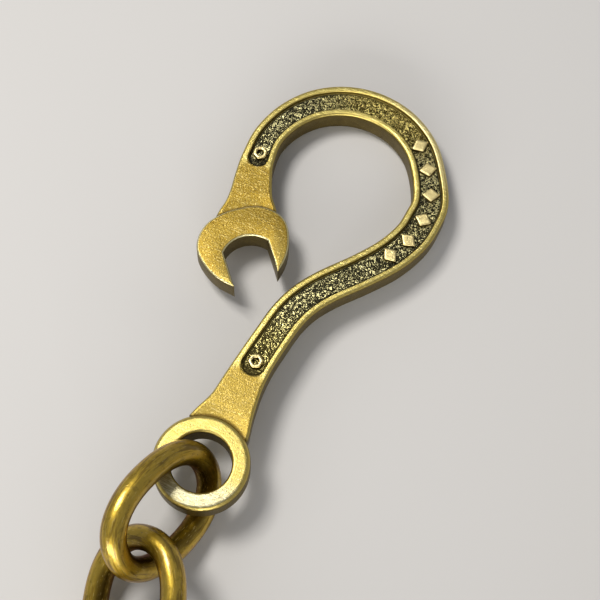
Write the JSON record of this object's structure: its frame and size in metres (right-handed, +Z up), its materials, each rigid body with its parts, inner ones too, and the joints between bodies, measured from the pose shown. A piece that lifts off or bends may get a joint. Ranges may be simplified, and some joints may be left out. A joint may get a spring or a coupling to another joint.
{
  "type": "wallet chain with wrench-shaped hook",
  "caption": "Brass wallet chain: a one-piece cast hook shaped like an open-end wrench, an oval-link cable chain through its eye, and a swivel bolt snap at the far end",
  "frame": {"origin": "middle of the underside of the whole object's box, on the table it lies on", "axes": "+Z up from the table; the hook's bowl and the snap point towards +Y; +X runs from the hook to the snap"},
  "size_m": [0.1456, 0.1948, 0.0222],
  "materials": {
    "cast_brass": "sand-cast brass, tumbled, with dark oxide in the sunk channel",
    "wire_brass": "smooth polished round wire, darkened with handling",
    "turned_brass": "turned and polished brass"
  },
  "bodies": {
    "hook": {"wrench_hook": "cast_brass"},
    "link_01": {"chain_link_01": "wire_brass"},
    "link_02": {"chain_link_02": "wire_brass"},
    "link_03": {"chain_link_03": "wire_brass"},
    "link_04": {"chain_link_04": "wire_brass"},
    "link_05": {"chain_link_05": "wire_brass"},
    "link_06": {"chain_link_06": "wire_brass"},
    "link_07": {"chain_link_07": "wire_brass"},
    "link_08": {"chain_link_08": "wire_brass"},
    "link_09": {"chain_link_09": "wire_brass"},
    "link_10": {"chain_link_10": "wire_brass"},
    "link_11": {"chain_link_11": "wire_brass"},
    "link_12": {"chain_link_12": "wire_brass"},
    "link_13": {"chain_link_13": "wire_brass"},
    "link_14": {"chain_link_14": "wire_brass"},
    "link_15": {"chain_link_15": "wire_brass"},
    "swivel": {"swivel_eye": "turned_brass"},
    "snap": {"snap_body": "turned_brass"},
    "bolt": {"snap_bolt": "wire_brass", "thumb_stud": "turned_brass"}
  },
  "joints": [
    {"name": "link_01_round_eye", "type": "hinge", "parent": "hook", "child": "link_01", "pos_m": [-0.05062, 0.01799, 0.00867], "axis": [0.0291, 0.0634, 0.9976], "range_deg": [-75, 75]},
    {"name": "link_02_swing", "type": "hinge", "parent": "link_01", "child": "link_02", "pos_m": [-0.06135, -0.00137, 0.0105], "axis": [-0.6334, -0.1522, 0.7587], "range_deg": [-60, 60]},
    {"name": "link_03_swing", "type": "hinge", "parent": "link_02", "child": "link_03", "pos_m": [-0.06458, -0.01967, 0.00655], "axis": [-0.8122, 0.2563, -0.5241], "range_deg": [-40, 60]},
    {"name": "link_04_swing", "type": "hinge", "parent": "link_03", "child": "link_04", "pos_m": [-0.06392, -0.03866, 0.0091], "axis": [0.6687, 0.0234, -0.7431], "range_deg": [-60, 60]},
    {"name": "link_05_swing", "type": "hinge", "parent": "link_04", "child": "link_05", "pos_m": [-0.05805, -0.05673, 0.00893], "axis": [0.6725, 0.2185, 0.7071], "range_deg": [-60, 60]},
    {"name": "link_06_swing", "type": "hinge", "parent": "link_05", "child": "link_06", "pos_m": [-0.04688, -0.0721, 0.00885], "axis": [-0.5721, -0.4156, 0.7071], "range_deg": [-60, 60]},
    {"name": "link_07_swing", "type": "hinge", "parent": "link_06", "child": "link_07", "pos_m": [-0.03151, -0.08327, 0.00881], "axis": [-0.4156, -0.5721, -0.7071], "range_deg": [-60, 60]},
    {"name": "link_08_swing", "type": "hinge", "parent": "link_07", "child": "link_08", "pos_m": [-0.01334, -0.08883, 0.00879], "axis": [0.2067, 0.6762, -0.7071], "range_deg": [-20, 60]},
    {"name": "link_09_swing", "type": "hinge", "parent": "link_08", "child": "link_09", "pos_m": [0.00565, -0.08816, 0.00878], "axis": [-0.0247, 0.7067, 0.7071], "range_deg": [-60, 30]},
    {"name": "link_10_swing", "type": "hinge", "parent": "link_09", "child": "link_10", "pos_m": [0.02339, -0.08135, 0.00877], "axis": [0.2534, -0.6601, 0.7071], "range_deg": [-60, 60]},
    {"name": "link_11_swing", "type": "hinge", "parent": "link_10", "child": "link_11", "pos_m": [0.03815, -0.0694, 0.00877], "axis": [0.445, -0.5495, -0.7071], "range_deg": [-60, 60]},
    {"name": "link_12_swing", "type": "hinge", "parent": "link_11", "child": "link_12", "pos_m": [0.0485, -0.05346, 0.00877], "axis": [-0.593, 0.3851, -0.7071], "range_deg": [-60, 60]},
    {"name": "link_13_swing", "type": "hinge", "parent": "link_12", "child": "link_13", "pos_m": [0.05374, -0.0352, 0.00877], "axis": [-0.6797, 0.1949, 0.7071], "range_deg": [-60, 60]},
    {"name": "link_14_swing", "type": "hinge", "parent": "link_13", "child": "link_14", "pos_m": [0.0544, -0.01621, 0.00877], "axis": [0.7067, -0.0247, 0.7071], "range_deg": [-60, 60]},
    {"name": "link_15_swing", "type": "hinge", "parent": "link_14", "child": "link_15", "pos_m": [0.05374, 0.00278, 0.00877], "axis": [0.7067, 0.0247, -0.7071], "range_deg": [-60, 60]},
    {"name": "swivel_eye_swing", "type": "hinge", "parent": "link_15", "child": "swivel", "pos_m": [0.05374, 0.02178, 0.0086], "axis": [-0.7431, 0, -0.6691], "range_deg": [-60, 60]},
    {"name": "snap_swivel", "type": "hinge", "parent": "swivel", "child": "snap", "pos_m": [0.05374, 0.03324, 0.00639], "axis": [0, 0.9971, -0.0767], "continuous": true},
    {"name": "bolt_slide", "type": "slide", "parent": "snap", "child": "bolt", "axis": [0, -0.9971, 0.0767], "range_m": [0, 0.0065], "stiffness_N_per_m": 150, "springref_m": -0.004}
  ]
}
